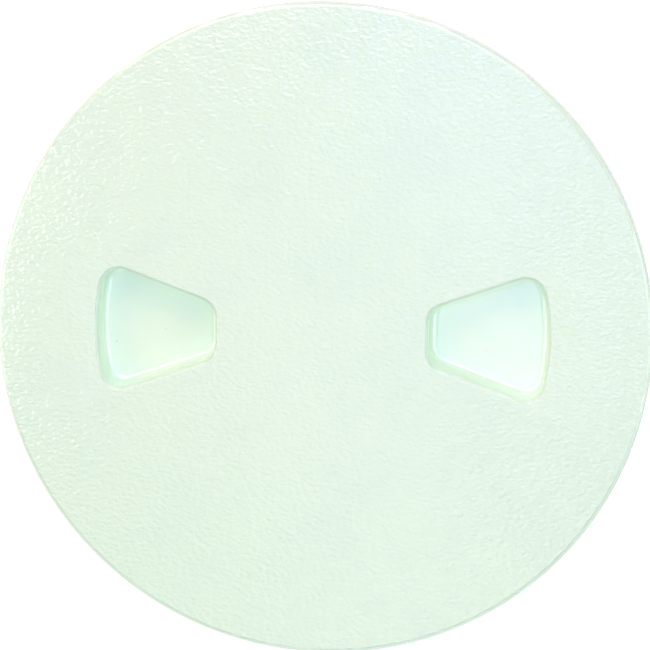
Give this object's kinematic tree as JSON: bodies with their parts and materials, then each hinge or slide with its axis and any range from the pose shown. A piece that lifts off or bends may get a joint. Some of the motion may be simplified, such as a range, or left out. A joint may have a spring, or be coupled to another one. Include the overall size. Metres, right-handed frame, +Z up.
{
  "type": "deck inspection plate",
  "caption": "Round screw-out deck inspection plate: a pebble-grained white lid with finger pockets and a threaded skirt, on a flanged deck ring with a rubber seal.",
  "frame": {"origin": "centre of the screw circle, in the plane of the deck's surface under the flange", "axes": "+Z up out of the deck along the axis of the thread, +X through the middle of one finger pocket"},
  "size_m": [0.2032, 0.2032, 0.028],
  "materials": {
    "lid_plastic": "white moulded plastic, fine pebble grain on the face, smooth and glossy in the pockets",
    "ring_plastic": "smooth white moulded plastic",
    "seal_rubber": "matt black rubber"
  },
  "bodies": {
    "ring": {"deck_ring": "ring_plastic"},
    "seal": {"o_ring": "seal_rubber"},
    "lid": {"lid": "lid_plastic"}
  },
  "joints": [
    {"name": "lid_rise", "type": "slide", "parent": "ring", "child": "seal", "axis": [0, 0, 1], "range_m": [0, 0.0163]},
    {"name": "lid_turn", "type": "hinge", "parent": "seal", "child": "lid", "pos_m": [0, 0, 0], "axis": [0, 0, 1], "range_deg": [0, 1170]}
  ],
  "couplings": [
    {"joint": "lid_rise", "follows": "lid_turn", "m_per_rad": 0.00079577}
  ]
}
